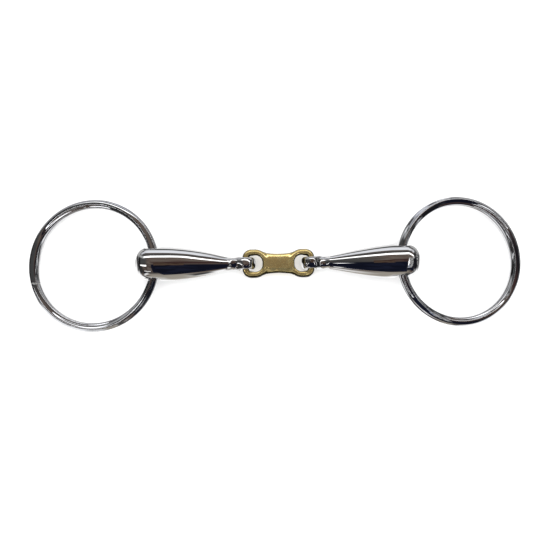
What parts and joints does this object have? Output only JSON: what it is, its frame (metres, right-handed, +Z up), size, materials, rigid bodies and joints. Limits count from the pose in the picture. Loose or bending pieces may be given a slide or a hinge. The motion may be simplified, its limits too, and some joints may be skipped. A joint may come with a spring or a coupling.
{
  "type": "loose ring snaffle bit",
  "caption": "Loose ring snaffle bit: thick hollow tapered cannons, a flat waisted centre link in yellow metal, and sliding rings.",
  "frame": {"origin": "on the surface that the bit lies on, below the middle of the centre link", "axes": "+X along the mouthpiece towards the right ring, +Y across the flat of the link, +Z up from the surface"},
  "size_m": [0.266, 0.07, 0.0186],
  "materials": {
    "mirror_steel": "mirror polished stainless steel",
    "forged_steel": "forged and polished stainless steel with faint tool facets",
    "liner_steel": "drawn tube, smooth inside",
    "ring_steel": "polished stainless rod with fine drawing lines",
    "brass": "satin cast yellow metal, brighter where it is rubbed"
  },
  "bodies": {
    "link": {"centre_link": "brass"},
    "left_cannon": {"left_eye": "forged_steel", "left_cannon_shell": "mirror_steel", "left_butt_cap": "mirror_steel"},
    "left_liner": {"left_bore_liner": "liner_steel"},
    "left_ring": {"left_ring": "ring_steel"},
    "right_cannon": {"right_eye": "forged_steel", "right_cannon_shell": "mirror_steel", "right_butt_cap": "mirror_steel"},
    "right_liner": {"right_bore_liner": "liner_steel"},
    "right_ring": {"right_ring": "ring_steel"}
  },
  "joints": [
    {"name": "left_fold", "type": "hinge", "parent": "link", "child": "left_cannon", "pos_m": [-0.01755, 0, 0.0053], "axis": [0, 1, 0], "range_deg": [-140, 140]},
    {"name": "left_swing", "type": "hinge", "parent": "left_cannon", "child": "left_liner", "pos_m": [-0.06617, 0, 0.00964], "axis": [0, -1, 0], "range_deg": [-160, 160]},
    {"name": "left_spin", "type": "hinge", "parent": "left_liner", "child": "left_ring", "pos_m": [-0.0981, 0, 0.00604], "axis": [-0.112, 0, 0.9937], "continuous": true},
    {"name": "right_fold", "type": "hinge", "parent": "link", "child": "right_cannon", "pos_m": [0.01755, 0, 0.0053], "axis": [0, 1, 0], "range_deg": [-140, 140]},
    {"name": "right_swing", "type": "hinge", "parent": "right_cannon", "child": "right_liner", "pos_m": [0.06619, 0, 0.00948], "axis": [0, -1, 0], "range_deg": [-160, 160]},
    {"name": "right_spin", "type": "hinge", "parent": "right_liner", "child": "right_ring", "pos_m": [0.09813, 0, 0.00596], "axis": [0.1097, 0, 0.994], "continuous": true}
  ]
}
